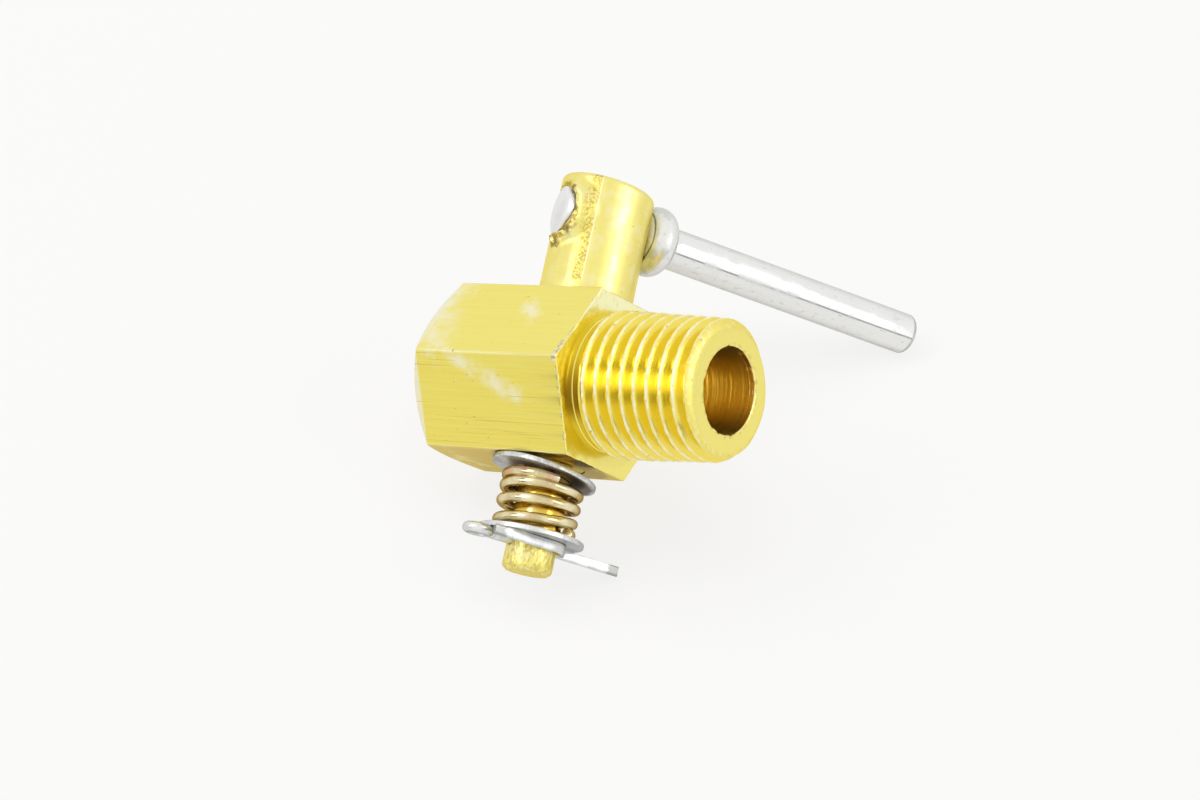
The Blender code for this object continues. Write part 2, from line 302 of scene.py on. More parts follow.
def settle(piece, sharp=35):
    """Turns what the piece's modifiers make into its own plain mesh."""
    shape = bpy.data.meshes.new_from_object(
        piece.evaluated_get(bpy.context.evaluated_depsgraph_get()))
    piece.modifiers.clear()
    piece.data = finish_shading(shape, sharp)


def cut(piece, tool_mesh, sharp=35):
    tool = put(piece.name + "_cutter", tool_mesh)
    step = piece.modifiers.new("cut", "BOOLEAN")
    step.object, step.operation, step.solver = tool, "DIFFERENCE", "MANIFOLD"
    settle(piece, sharp)
    bpy.data.objects.remove(tool)


def round_ring(radius, height):
    return [(radius * math.cos(math.radians(a)), radius * math.sin(math.radians(a)), height)
            for a in body_columns]


def chipped_ring(radius, height):
    """The bore's mouth, where the drill has torn small chips from the edge."""
    ring = []
    chips_per_metre, spared, share, limit = 1500, 0.06, 0.14, 0.026
    for x, y, z in round_ring(radius, height):
        chip = max(0, noise.noise(Vector((x, y, 0.002)) * chips_per_metre) - spared)
        grown = 1 + min(limit, share * chip)
        ring.append((x * grown, y * grown, z))
    return ring


def hex_ring(inset, height, nick=0.0):
    """A ring round the bar's outline, drawn in by inset and worn unevenly by up to nick."""
    ring = []
    for a in body_columns:
        turn = math.radians(a)
        wear = noise.noise(Vector((8 * math.cos(turn), 8 * math.sin(turn), 3.1)) * 1.6)
        torn = noise.noise(Vector((8 * math.cos(turn), 8 * math.sin(turn), 9.7)) * 4.5)
        reach = hex_reach(a) - inset - nick * max(0, wear + 0.3 * torn)
        ring.append((reach * math.cos(turn), reach * math.sin(turn), height + 0.4 * nick * torn))
    return ring


def outlet_ring():
    """The scalloped line where the outlet's chamfer meets the flats."""
    slope = math.tan(math.radians(30))
    return [(x, y, z + (math.hypot(x, y) - outlet_face_radius) * slope)
            for x, y, z in hex_ring(0.0, hex_bottom)]


def blank_radius(depth):
    """The turned inlet before threading, with its chamfered end worn round."""
    turned = thread_tip_radius + depth * thread_taper
    short = max(0, 1 - depth / worn_end_length)
    chamfer = worn_end_radius + (turned - worn_end_radius) * math.sqrt(1 - short ** 2)
    relief = neck_radius + max(0, thread_length - depth)
    return min(chamfer, relief)


body_rings = [round_ring(waist_radius, -13.47 * mm)]
body_rings += [round_ring(bore_radius, z * mm) for z in (-12.51, -9, -6, -3, -1, -0.35)]
body_rings += [chipped_ring(bore_radius + flare * mm, z * mm)
               for flare, z in ((0, -0.12), (0.04, -0.05), (0.10, 0))]
body_rings += [round_ring(r * mm, 0) for r in (4.5, 5.0, 5.22)]
thread_first = len(body_rings)
row_step = thread_pitch / 20
row = 0.03 * mm
while row < thread_length:
    body_rings.append(round_ring(blank_radius(row), -row))
    row += row_step
thread_last = len(body_rings)
body_rings += [round_ring(neck_radius + flare * mm, z) for flare, z in (
    (0, -12.6 * mm), (0, hex_top + 0.08 * mm), (0.08, hex_top), (0.40, hex_top))]
body_rings += [hex_ring(0.9 * mm, hex_top), hex_ring(0.30 * mm, hex_top),
               hex_ring(0.10 * mm, hex_top, 0.16 * mm), hex_ring(0.0, hex_top - 0.09 * mm, 0.10 * mm),
               hex_ring(0.0, hex_top - 0.35 * mm)]
body_rings += [hex_ring(0.0, z * mm) for z in (-17, -21, -25, -29)]
body_rings += [outlet_ring(), round_ring(outlet_face_radius, hex_bottom)]
body_rings += [round_ring(r * mm, hex_bottom) for r in (7.2, 5.0, 3.75)]
body_rings += [round_ring(outlet_bore, z * mm) for z in (-30.15, -27, -24.29)]
body_rings += [round_ring(waist_radius, z * mm) for z in (-23.63, -18.5)]
body_mesh = loft("valve_body", body_rings, ring_round=True)
body = put("valve_body_brass", body_mesh)

# The thread is cut into the turned blank by a rule: the depth at a point follows from its angle
# round the inlet and its height, with flat crests, a slight burr and a run-out before the hexagon.
threaded = body_mesh.attributes.new("threaded", "FLOAT", "POINT")
columns = len(body_columns)
for i in range(thread_first * columns, thread_last * columns):
    threaded.data[i].value = 1.0


def shape_tree(name, begins, sizes, finish, ends):
    """A Geometry Nodes tree with an input for each size and for the finish, and its inputs."""
    tree = bpy.data.node_groups.new(name, "GeometryNodeTree")
    tree.interface.new_socket(begins, in_out="INPUT", socket_type="NodeSocketGeometry")
    for size_name in sizes:
        tree.interface.new_socket(size_name, in_out="INPUT", socket_type="NodeSocketFloat")
    tree.interface.new_socket(finish, in_out="INPUT", socket_type="NodeSocketMaterial")
    tree.interface.new_socket(ends, in_out="OUTPUT", socket_type="NodeSocketGeometry")
    sockets = tree.nodes.new("NodeGroupInput").outputs
    return tree, {socket.name: Value(tree, socket) for socket in sockets if socket.name}


def end_tree(shape, finish):
    real = shape.node("GeometryNodeRealizeInstances", None, {0: shape})
    dressed = real.node("GeometryNodeSetMaterial", None, {"Geometry": real, "Material": finish})
    shape.tree.links.new(dressed.socket, shape.tree.nodes.new("NodeGroupOutput").inputs[0])


def run_tree(piece, tree, settings, sharp=35):
    """Sets the tree's inputs by their identifiers, and keeps what it makes as the piece's mesh."""
    step = piece.modifiers.new(tree.name, "NODES")
    step.node_group = tree
    for item in tree.interface.items_tree:
        if item.in_out == "INPUT" and item.name in settings:
            step[item.identifier] = settings[item.name]
    settle(piece, sharp)


thread_sizes = {"Pitch": thread_pitch, "Depth": thread_depth, "Tip Radius": thread_tip_radius,
                "Taper": thread_taper, "Crest Share": 0.13, "Root Share": 0.15,
                "Burr": 0.07 * mm, "Run Out": 0.7 * mm, "Length": thread_length}
thread_tree, given = shape_tree("cut_taper_thread", "Blank", thread_sizes, "Brass", "Thread")
start = Value(thread_tree)
spot = start.node("GeometryNodeInputPosition")
axes = spot.node("ShaderNodeSeparateXYZ", None, {0: spot}).socket.node.outputs
x, y, z = (Value(thread_tree, axis) for axis in axes)
radius = x.hypot(y)
turn = y.math("ARCTAN2", y, x) / math.tau
along = z / given["Pitch"] - turn
wave = along.math("FRACT", along)
ridge = wave.math("ABSOLUTE", 2 * wave - 1)
flank = (ridge - given["Root Share"]) / (1 - given["Crest Share"] - given["Root Share"])
height = flank.clamped()
run_out = (z + given["Length"]) / given["Run Out"]
fade = run_out.clamped()
crest = given["Tip Radius"] - z * given["Taper"]
rough = spot.node("ShaderNodeTexNoise", None, {"Vector": spot, "Scale": 2600.0, "Detail": 2.0})
torn = rough.node("ShaderNodeMapRange", None, {0: rough, 1: 0.5, 2: 0.75})
on_crest = ((height - 0.8) * 5.0).clamped()
floor = crest - given["Depth"] * fade * (1 - height) - given["Burr"] * torn * on_crest
threaded_radius = floor.math("MINIMUM", floor, radius)
grown = threaded_radius / radius
moved = spot.node("ShaderNodeCombineXYZ", None, {0: x * grown, 1: y * grown, 2: z})
chosen = start.node("GeometryNodeInputNamedAttribute", {"data_type": "FLOAT"}, {"Name": "threaded"})
picked = chosen.node("FunctionNodeCompare", {"operation": "GREATER_THAN"}, {0: chosen, 1: 0.5})
cut_blank = start.node("GeometryNodeSetPosition", None, {
    "Geometry": given["Blank"], "Selection": picked, "Position": moved})
end_tree(cut_blank, given["Brass"])


def ease(value, low, high):
    """0 below low and 1 above high, with a soft step between them."""
    return value.node("ShaderNodeMapRange", {"interpolation_type": "SMOOTHSTEP"},
                      {0: value, 1: low, 2: high})


def tint(share, first, second):
    """A colour between two, each a colour's three parts or a link."""
    colour_slots, colour_out = (6, 7), 2
    sockets = {0: share}
    for slot, colour in zip(colour_slots, (first, second)):
        sockets[slot] = colour if isinstance(colour, Value) else (*colour, 1)
    return share.node("ShaderNodeMix", {"data_type": "RGBA"}, sockets, pick=colour_out)


def grain(vector, scale, detail=2.0, stretch=None):
    """Noise of about 1/scale metres, drawn out where stretch is small."""
    if stretch:
        vector = vector.node("ShaderNodeMapping", None, {"Vector": vector, "Scale": stretch})
    return vector.node("ShaderNodeTexNoise", None,
                       {"Vector": vector, "Scale": scale, "Detail": detail})


def new_finish(name):
    """A plain material, and the piece's own points to vary it by."""
    finish = bpy.data.materials.new(name)
    finish.use_nodes = True
    return finish, own_points(finish)


def own_points(finish):
    """Points in the axes of the piece that wears the finish."""
    object_coordinates = 3
    return Value(finish.node_tree).node("ShaderNodeTexCoord", pick=object_coordinates)


def join(finish, slot, value):
    shader = finish.node_tree.nodes["Principled BSDF"]
    finish.node_tree.links.new(value.socket, shader.inputs[slot])


def give(finish, colour, roughness, relief, relief_depth, slant=(1, 1, 1)):
    """Joins a metal's colour, roughness and relief. Seen at a slant, it takes on the tint slant."""
    shader = finish.node_tree.nodes["Principled BSDF"]
    shader.inputs["Metallic"].default_value = 1
    shader.inputs["Specular Tint"].default_value = (*slant, 1)
    join(finish, "Base Color", colour)
    join(finish, "Roughness", roughness)
    join(finish, "Normal", relief.node("ShaderNodeBump", None, {
        "Height": relief, "Distance": relief_depth, "Strength": 0.6}))
    return finish


def parts_of(vector):
    outputs = vector.node("ShaderNodeSeparateXYZ", None, {0: vector}).socket.node.outputs
    return [Value(vector.tree, output) for output in outputs]


def smear(across, along, begin, end, width, ragged):
    """1 on a soft-edged streak between two points of the front flats, 0 away from it."""
    run = (end[0] - begin[0], end[1] - begin[1])
    length = math.hypot(*run)
    way = (run[0] / length, run[1] / length)
    ahead = (across - begin[0]) * way[0] + (along - begin[1]) * way[1]
    kept = ahead.clamped(length)
    off_x = across - begin[0] - kept * way[0]
    off_z = along - begin[1] - kept * way[1]
    off = off_x.hypot(off_z) + (ragged - 0.5) * width * 3.0
    return 1 - ease(off, -0.5 * width, 1.6 * width)


brass_slant = (0.96, 0.86, 0.55)


def drawn_brass():
    """Bright drawn bar: streaks along its length, cloudy lacquer and fine pits, with a painted
    highlight on its corners, a painted reflection on the outlet's chamfer and painted shade on its
    underside round the washer.
    """
    finish, spots = new_finish("drawn_brass")
    x, y, z = parts_of(spots)
    reach = x.hypot(y)
    front = 1 - ease(y, -4.7 * mm, -4.5 * mm)
    smooth_flat = front * (1 - ease(x, -0.2 * mm, 0.1 * mm))
    streak = grain(spots, 4600, 3, (1, 1, 0.02))
    fine = grain(spots, 12000, 2, (1, 1, 0.012))
    ragged = grain(spots, 560, 4)
    cloud = smear(x, z, (-7.5 * mm, -30.0 * mm), (-1.0 * mm, -28.6 * mm), 1.9 * mm, ragged)
    cloud = cloud.at_least(
        smear(x, z, (0.2 * mm, -26.0 * mm), (3.7 * mm, -18.2 * mm), 0.75 * mm, ragged))
    cloud = cloud.at_least(
        smear(x, z, (-5.6 * mm, -20.2 * mm), (-4.4 * mm, -18.6 * mm), 0.8 * mm, ragged))
    elsewhere = ease(grain(spots, 260, 3), 0.52, 0.70) * (1 - front)
    cloud = (cloud * front + elsewhere) * ease(grain(spots, 900, 4), 0.24, 0.58)
    pits = ease(grain(spots, 3000, 1), 0.75, 0.80)
    hair = ease(grain(spots, 5200, 1, (1, 1, 0.014)), 0.62, 0.70) * (1 - 0.85 * smooth_flat)
    # Painted highlight along the bar's six corners, broken up by fine noise.
    corner = ease(reach + (fine - 0.5) * 0.10 * mm, 9.12 * mm, 9.18 * mm)
    # Painted reflection: the outlet's chamfer on the front flats, tinted pale.
    lip = (1 - ease(z, -29.75 * mm, -29.60 * mm)) * front
    near_corner = ease(x, -3.2 * mm, -1.2 * mm) * (1 - ease(x, 0.3 * mm, 0.9 * mm))
    burr = ease(z + 0.35 * mm * near_corner, -13.42 * mm, -13.18 * mm)
    chip = burr * ease(grain(spots, 1500, 3) + 0.06 * near_corner, 0.48, 0.58) * front
    drawn = streak * (1 - 0.8 * smooth_flat) + 0.45 * smooth_flat
    colour = tint(ease(drawn, 0.25, 0.75), (0.86, 0.735, 0.155), (0.93, 0.84, 0.255))
    lower_flat = front * ease(x, 0.05 * mm, 0.25 * mm)
    colour = tint(lower_flat * 0.5, colour, (0.85, 0.71, 0.115))
    # Painted shade: the underside flat is darkened, and a painted shadow is darker still round the
    # upper washer.
    under = ease(x, 7.9 * mm, 7.97 * mm)
    washer_shadow = 1 - ease(y.hypot(z + plug_depth), 5.0 * mm, 5.9 * mm)
    colour = tint(under * 0.8, colour, (0.62, 0.48, 0.13))
    colour = tint(under * washer_shadow * 0.8, colour, (0.26, 0.17, 0.04))
    colour = tint(cloud * 0.85, colour, (0.94, 0.91, 0.68))
    # Painted reflection on the outlet's chamfer.
    colour = tint(lip * 0.8, colour, (0.90, 0.87, 0.70))
    # Painted highlight on the corners.
    colour = tint(corner * ease(fine, 0.40, 0.62) * 0.6, colour, (0.97, 0.94, 0.62))
    colour = tint(hair * (0.28 + 0.27 * lower_flat), colour, (0.62, 0.47, 0.06))
    colour = tint(pits * 0.6, colour, (0.30, 0.21, 0.06))
    flake = tint(ease(grain(spots, 4200, 2), 0.45, 0.55), (0.34, 0.30, 0.28), (0.86, 0.83, 0.80))
    colour = tint(chip * 0.75, colour, flake)
    roughness = 0.15 + 0.14 * drawn + 0.08 * cloud
    relief = drawn * 0.8 + fine * 0.25 * (1 - smooth_flat) - pits - hair * 0.5
    return give(finish, colour, roughness, relief, 0.008 * mm, brass_slant)


def turned_brass():
    """Lathe-turned brass: fine rings, a painted highlight on the thread's crests and small torn nicks
    on the thread, with painted shade round the neck and a painted highlight on one corner of the
    hexagon's end face.
    """
    finish, spots = new_finish("turned_brass")
    x, y, z = parts_of(spots)
    reach = x.hypot(y)
    rings = x.node("ShaderNodeCombineXYZ", None, {0: reach, 1: z, 2: 0.0})
    tool = grain(rings, 7000, 2)
    mottle = grain(spots, 900, 3)
    crest_line = thread_tip_radius - z * thread_taper
    crest = ease(reach - crest_line, -0.16 * mm, -0.06 * mm) * ease(z, -13.0 * mm, -12.6 * mm)
    nick = ease(grain(spots, 2100, 2), 0.66, 0.74)
    face = ease(z, -0.9 * mm, -0.3 * mm) + 1 - ease(z, -13.09 * mm, -13.03 * mm)
    cutting = tint(tool, (0.89, 0.71, 0.10), (0.95, 0.81, 0.17))
    facing = tint(tool, (0.91, 0.79, 0.19), (0.97, 0.88, 0.28))
    colour = tint(face, cutting, facing)
    colour = tint(ease(mottle, 0.45, 0.75) * 0.25, colour, (0.91, 0.83, 0.36))
    # Painted shade: the neck and the hexagon's end face round it are darkened by the share in shaded,
    # which is strongest in a band across the face.
    neck = ease(z, -13.09 * mm, -12.9 * mm) * (1 - ease(z, -12.5 * mm, -12.1 * mm))
    at_hex = 1 - ease(z, -13.09 * mm, -13.05 * mm)
    by_neck = at_hex * (1 - ease(reach, 6.6 * mm, 8.4 * mm))
    shaded = 0.12 + 0.70 * ease(x, -1.5 * mm, 3.0 * mm) * (1 - ease(x, 3.6 * mm, 5.2 * mm))
    colour = tint((neck + by_neck) * shaded, colour, (0.42, 0.28, 0.05))
    # Painted highlight: one corner of the hexagon's end face made paler, broken up by the mottle.
    pale_corner = at_hex * (1 - ease(x, -5.5 * mm, -3.5 * mm)) * ease(mottle, 0.25, 0.50)
    colour = tint(pale_corner * 0.95, colour, (1.0, 0.99, 0.60))
    chamfer = ease(z, -1.0 * mm, -0.85 * mm) * (1 - ease(z, -0.06 * mm, -0.02 * mm))
    scuff = grain(spots, 2200, 3)
    mouth = (1 - ease(reach, 4.15 * mm, 4.50 * mm)) * ease(z, -0.3 * mm, -0.1 * mm)
    colour = tint(mouth * ease(scuff, 0.50, 0.60) * 0.35, colour, (0.44, 0.30, 0.07))
    colour = tint(chamfer * 0.5, colour, (0.86, 0.72, 0.17))
    colour = tint(chamfer * ease(scuff, 0.50, 0.66) * 0.45, colour, (1.0, 0.95, 0.62))
    # Painted highlight: the thread's crests tinted near white.
    colour = tint(crest * (0.30 + 0.45 * ease(mottle, 0.38, 0.60)), colour, (1.0, 0.97, 0.78))
    colour = tint(nick * (0.08 + 0.50 * crest + 0.45 * chamfer), colour, (0.30, 0.24, 0.13))
    roughness = 0.13 + 0.10 * tool + 0.08 * mottle + 0.22 * chamfer + 0.16 * crest
    relief = 0.4 * tool - nick * 0.8 * (crest + chamfer) + 4.0 * chamfer * scuff
    return give(finish, colour, roughness, relief, 0.007 * mm, brass_slant)


def bored_brass():
    """The waterway's wall: drilled, darker and ringed by the tool."""
    finish, spots = new_finish("bored_brass")
    z = parts_of(spots)[2]
    rings = z.node("ShaderNodeCombineXYZ", None, {0: 0.0, 1: z, 2: 0.0})
    tool = grain(rings, 2600, 3)
    mottle = grain(spots, 1300, 3)
    colour = tint(ease(tool, 0.3, 0.7), (0.94, 0.68, 0.19), (1.0, 0.85, 0.36))
    colour = tint(ease(mottle, 0.4, 0.7) * 0.3, colour, (0.86, 0.58, 0.14))
    return give(finish, colour, 0.20 + 0.10 * mottle, tool, 0.26 * mm)


body_finishes = [drawn_brass(), turned_brass(), bored_brass()]
drawn, turned, bored = range(len(body_finishes))
run_tree(body, thread_tree, {**thread_sizes, "Brass": body_finishes[turned]})


def plug_radius(along):
    return head_radius - (taper_top - along) * taper_slope


def turned_rings(profile, steps=128):
    """Rings round Z from (radius, height) pairs. A radius of 0 is a pole."""
    turns = [math.tau * i / steps for i in range(steps)]
    return [[(r * math.cos(a), r * math.sin(a), h) for a in turns] if r else [(0, 0, h)]
            for r, h in profile]


# The plug's own axes: local Z runs from the middle of the waterway to the head, local X to the inlet
plug_station = Matrix(((0, 0, -1, 0), (0, 1, 0, 0), (1, 0, 0, -plug_depth), (0, 0, 0, 1)))
seat_end = 10 * mm
seat_play = 0.03 * mm
cut(body, loft("plug_seat", turned_rings([
    (0, seat_end), (plug_radius(seat_end) + seat_play, seat_end),
    (plug_radius(-seat_end) + seat_play, -seat_end), (0, -seat_end)]), matrix=plug_station))
body.data.materials.clear()
for finish in body_finishes:
    body.data.materials.append(finish)
flats_from, bore_to, seat_to, mouth = 7.9 * mm, 4.08 * mm, 5.2 * mm, -0.02 * mm
for face in body.data.polygons:
    reach = math.hypot(face.center.x, face.center.y)
    across = math.hypot(face.center.y, face.center.z + plug_depth)
    outside = reach > flats_from and abs(face.normal.z) < 0.3
    if reach < bore_to and face.center.z < mouth or across < seat_to and not outside:
        face.material_index = bored
    else:
        face.material_index = drawn if outside and face.center.z < hex_top else turned
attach(body, "body")
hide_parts("valve_body")


# Taper plug: turned brass, its head cross-drilled for the lever, its ground taper ported for the
# water, and its thin stub drilled for the pin. It drops into the body's seat from the head's side.
lever_turn = math.radians(67.5)
lever_line = plug_station @ Matrix.Rotation(lever_turn, 4, "Z")
lever_height = 15.58 * mm
pin_height = -15.71 * mm
head_top, head_edge = 19.08 * mm, 0.5 * mm
taper_end = -7.9 * mm
stub_radius, stub_end = 2.35 * mm, -18.34 * mm
port_radius, pin_hole, spigot_hole = 2.4 * mm, 0.56 * mm, 1.56 * mm
drill_reach = 7 * mm
lump_drop, lump_side = 2.9 * mm, -0.2 * mm


def soft_edge(radius, height, size, begin, end, count=6):
    """(radius, height) pairs along a round edge in a profile, between two angles in degrees."""
    turns = [math.radians(begin + (end - begin) * i / count) for i in range(count + 1)]
    return [(radius + size * math.cos(a), height + size * math.sin(a)) for a in turns]


across_lever = Matrix.Rotation(math.pi / 2, 4, "Y")
head_profile = [(0, head_top), (1.5 * mm, head_top), (3.0 * mm, head_top - 0.01 * mm)]
head_profile += soft_edge(head_radius - head_edge, head_top - head_edge, head_edge, 88, 0)
head_profile += [(head_radius, (18.4 - 0.2 * i) * mm) for i in range(47)]
head_profile += [(plug_radius(h * mm), h * mm) for h in (8.6, 8.0, 6, 4, 2, 0, -2, -4, -6, -7.8)]
head_profile += [(plug_radius(taper_end) - 0.1 * mm, taper_end), (stub_radius + 0.1 * mm, taper_end),
                 (stub_radius, taper_end - 0.1 * mm)]
head_profile += [(stub_radius, h * mm) for h in (-9, -11, -13, -15, -17, -17.94)]
head_profile += [(stub_radius - 0.05 * mm, -18.05 * mm), (2.0 * mm, stub_end + 0.01 * mm),
                 (1.7 * mm, stub_end), (0, stub_end)]
plug_rings = turned_rings(head_profile, 160)


def handled(point):
    """The head as the saw and the hammer left it: a top slightly out of square, brass pushed up
    round the lever's rivet, and a torn lump under it."""
    x, y, h = point
    reach = math.hypot(x, y)
    head_from, sawn_from, saw_slope, saw_side, saw_drop = 8.7 * mm, 17.4 * mm, 0.075, 0.489, 0.872
    top_to, wear = 3.9 * mm, 0.02 * mm
    swell_to, swell_fade = 3.9 * mm, 1.5 * mm
    lump_width, lump_rise = 0.85 * mm, 0.50 * mm
    if h < head_from:
        return point
    if h > sawn_from:
        h += saw_slope * (saw_side * y - saw_drop * x) * min(1, (h - sawn_from) / mm)
    if reach < top_to:
        return (x, y, h)
    uneven = wear * noise.noise(Vector((x, y, h)) * 420) - wear
    off = math.hypot(y, h - lever_height)
    pushed = lump = 0
    if x < 0:
        rise = max(0.0, min(1.0, (swell_to - off) / swell_fade))
        pushed = rise * rise * (3 - 2 * rise) * mm * max(0, 0.30 - 0.28 * y / mm)
        pushed *= 0.9 + 0.3 * noise.noise(Vector((x, y, h)) * 1000)
        low = math.hypot(y - lump_side, h - (lever_height - lump_drop)) / lump_width
        lump = math.exp(-low ** 4) * lump_rise * (
            0.55 + 0.9 * noise.noise(Vector((x, y, h)) * 2300 + Vector((3, 1, 7))))
    grown = (reach + uneven + pushed + lump) / reach
    return (x * grown, y * grown, h)


plug_rings = [[handled(point) for point in ring] for ring in plug_rings]
plug = put("taper_plug_brass", loft("taper_plug", plug_rings, matrix=lever_line))
lever_place = lever_line @ Matrix.Translation((0, 0, lever_height)) @ across_lever
lever_seat = [(0, drill_reach), (2.76 * mm, drill_reach), (2.76 * mm, 4.2 * mm),
              (spigot_hole, 4.2 * mm), (spigot_hole, -4.05 * mm), (2.56 * mm, -4.05 * mm),
              (2.70 * mm, -5.2 * mm), (2.70 * mm, -drill_reach), (0, -drill_reach)]
cut(plug, loft("lever_seat", turned_rings(lever_seat), matrix=lever_place))
for drill, height in ((port_radius, 0.0), (pin_hole, pin_height)):
    hole = [(0, drill_reach), (drill, drill_reach), (drill, -drill_reach), (0, -drill_reach)]
    cut(plug, loft("drill", turned_rings(hole, 64),
                   matrix=lever_line @ Matrix.Translation((0, 0, height)) @ across_lever))


def weld(piece, distance, sharp=35):
    """Merges points almost on top of each other, and takes out points that join only two edges."""
    bm = bmesh.new()
    bm.from_mesh(piece.data)
    bmesh.ops.remove_doubles(bm, verts=bm.verts, dist=distance)
    bmesh.ops.dissolve_degenerate(bm, dist=distance, edges=bm.edges)
    bmesh.ops.dissolve_verts(bm, verts=[vert for vert in bm.verts if len(vert.link_edges) == 2])
    bmesh.ops.recalc_face_normals(bm, faces=bm.faces)
    bm.to_mesh(piece.data)
    bm.free()
    finish_shading(piece.data, sharp)


weld(plug, 0.001 * mm)


def in_axes(spots, place):
    """The same points, measured in the axes of place."""
    return spots.node("ShaderNodeMapping", {"vector_type": "TEXTURE"}, {
        "Vector": spots, "Location": place.translation, "Rotation": place.to_euler()})


def plug_brass():
    """Turned brass of the plug: rings round its axis, a painted highlight on a faint raised line and
    a rough band on the head, and painted shade on the stub inside the spring.
    """
    finish, spots = new_finish("plug_brass")
    x, y, z = parts_of(spots)
    rise = -1 * x
    deep = z + plug_depth
    reach = y.hypot(deep)
    turn = y.math("ARCTAN2", y, deep)
    rings = x.node("ShaderNodeCombineXYZ", None, {0: reach, 1: rise, 2: 0.0})
    tool = grain(rings, 6000, 2)
    streak = grain(spots, 2400, 2, (0.05, 1, 1))
    mottle = grain(spots, 700, 3)
    on_head = ease(rise, 8.6 * mm, 8.9 * mm) * ease(reach, 4.05 * mm, 4.25 * mm)
    band = ease(turn, -1.34, -1.24) * (1 - ease(turn, -1.08, -1.04)) * on_head
    band = band * (0.35 + 0.65 * ease(grain(spots, 700, 3), 0.36, 0.54))
    rough = ease(grain(spots, 4600, 3), 0.42, 0.62)
    drop, side, out = parts_of(in_axes(spots, lever_place))
    off = drop.hypot(side)
    far_side = 1 - ease(out, -3.2 * mm, -3.0 * mm)
    trench = ease(drop, -0.2 * mm, 1.0 * mm) * (1 - ease(side, -1.2 * mm, 0.4 * mm))
    rim = ease(off, 2.4 * mm, 2.55 * mm) * far_side * (
        1 - ease(off - 0.4 * mm * trench, 2.65 * mm, 2.95 * mm))
    torn = rim * ease(grain(spots, 1500, 3) + 0.12 * trench, 0.48, 0.60)
    knob = (drop - lump_drop).hypot(side - lump_side) + (grain(spots, 1800, 2) - 0.5) * 0.7 * mm
    crust = ease(knob, 0.42 * mm, 0.58 * mm) * (1 - ease(knob, 0.80 * mm, 0.98 * mm))
    pit = 1 - ease((drop + 1.9 * mm).hypot(side + 1.9 * mm), 0.20 * mm, 0.38 * mm)
    torn = torn.at_least(crust.at_least(pit) * far_side)
    # Painted highlight: a narrow pale line along the head, on a faint raised line in the relief.
    line = ease(turn, -1.070, -1.060) * (1 - ease(turn, -1.048, -1.036)) * on_head
    pits = ease(grain(spots, 3000, 1), 0.74, 0.79)
    colour = tint(tool * 0.5 + streak * 0.5, (0.87, 0.75, 0.19), (0.94, 0.85, 0.31))
    # Painted shade: the stub inside the spring darkened to a deep orange.
    inside = ease(rise, -14.6 * mm, -14.3 * mm) * (1 - ease(rise, -8.2 * mm, -7.8 * mm))
    colour = tint(inside * 0.85, colour, (0.78, 0.47, 0.05))
    worked = 1 - ease(rise, -16.2 * mm, -15.6 * mm)
    chatter = ease(grain(spots, 3400, 3, (0.45, 1, 1)), 0.44, 0.60)
    colour = tint(worked * chatter * 0.5, colour, (0.50, 0.35, 0.05))
    colour = tint(ease(mottle, 0.45, 0.75) * 0.5, colour, (0.94, 0.89, 0.52))
    colour = tint(band * rough * 0.75, colour, (0.54, 0.41, 0.05))
    colour = tint(torn * 0.85, colour, (0.30, 0.19, 0.05))
    colour = tint(line * 0.8, colour, (0.98, 0.95, 0.70))
    colour = tint(pits * 0.6, colour, (0.42, 0.28, 0.06))
    roughness = 0.25 + 0.10 * tool + 0.10 * streak + 0.25 * band - 0.17 * inside
    relief = 0.4 * tool + 0.5 * streak - pits + 0.7 * line
    relief = relief - 1.4 * band * rough + 4 * worked * chatter - 4 * torn
    return give(finish, colour, roughness, relief, 0.010 * mm, brass_slant)


plug.data.materials.clear()
plug.data.materials.append(plug_brass())
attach(plug, "plug")
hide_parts("taper_plug")


# Lever: a zinc-plated steel rod with an upset collar. Its spigot goes through the head, and its end
# is hammered flat in the recess on the far side, so that rod and plug turn as one.
rod_radius, rod_end, rod_edge = 2.0 * mm, 36.2 * mm, 0.45 * mm
collar_start, collar_round = 4.24 * mm, 1.5 * mm
spigot_radius, rivet_start = 1.5 * mm, -4.09 * mm
lever_profile = [(0, rod_end), (0.8 * mm, rod_end)]
lever_profile += soft_edge(rod_radius - rod_edge, rod_end - rod_edge, rod_edge, 90, 0)
lever_profile += [(rod_radius, h * mm) for h in (33, 30, 26, 22, 18, 14, 11, 9, 8, 7.5)]
lever_profile += [(rod_radius + 0.02 * mm, 7.32 * mm), (rod_radius + 0.12 * mm, 7.22 * mm)]
lever_profile += soft_edge(1.9 * mm, collar_start + collar_round, collar_round, 74, -90, 18)
lever_profile += [(spigot_radius, collar_start), (spigot_radius, 0), (spigot_radius, rivet_start)]
lever_profile += [(r * mm, h * mm) for r, h in (
    (2.38, -4.09), (2.40, -4.50), (2.34, -4.66), (2.1, -4.75), (1.6, -4.78), (1.0, -4.80),
    (0.5, -4.80), (0, -4.80))]


def hammered(point):
    """Faint dents in the rivet's face and a shallow waviness along the rod."""
    x, y, h = point
    rivet_from, rivet_shift, rivet_slope, dent_depth = -4.2 * mm, 0.14 * mm, 0.22, 0.05 * mm
    wave_from, wave_to, wave_depth = 7.6 * mm, 35.5 * mm, 0.006
    if h < rivet_from:
        dent = dent_depth * abs(noise.noise(Vector((x, y, 0.3)) * 700))
        return (x + rivet_shift, y, h + rivet_slope * y + dent)
    if wave_from < h < wave_to:
        grown = 1 - wave_depth * abs(noise.noise(Vector((x * 300, y * 300, h * 120))))
        return (x * grown, y * grown, h)
    return point


lever_rings = [[hammered(point) for point in ring] for ring in turned_rings(lever_profile, 96)]
lever = put("lever_zinc", loft("lever", lever_rings, matrix=lever_place))


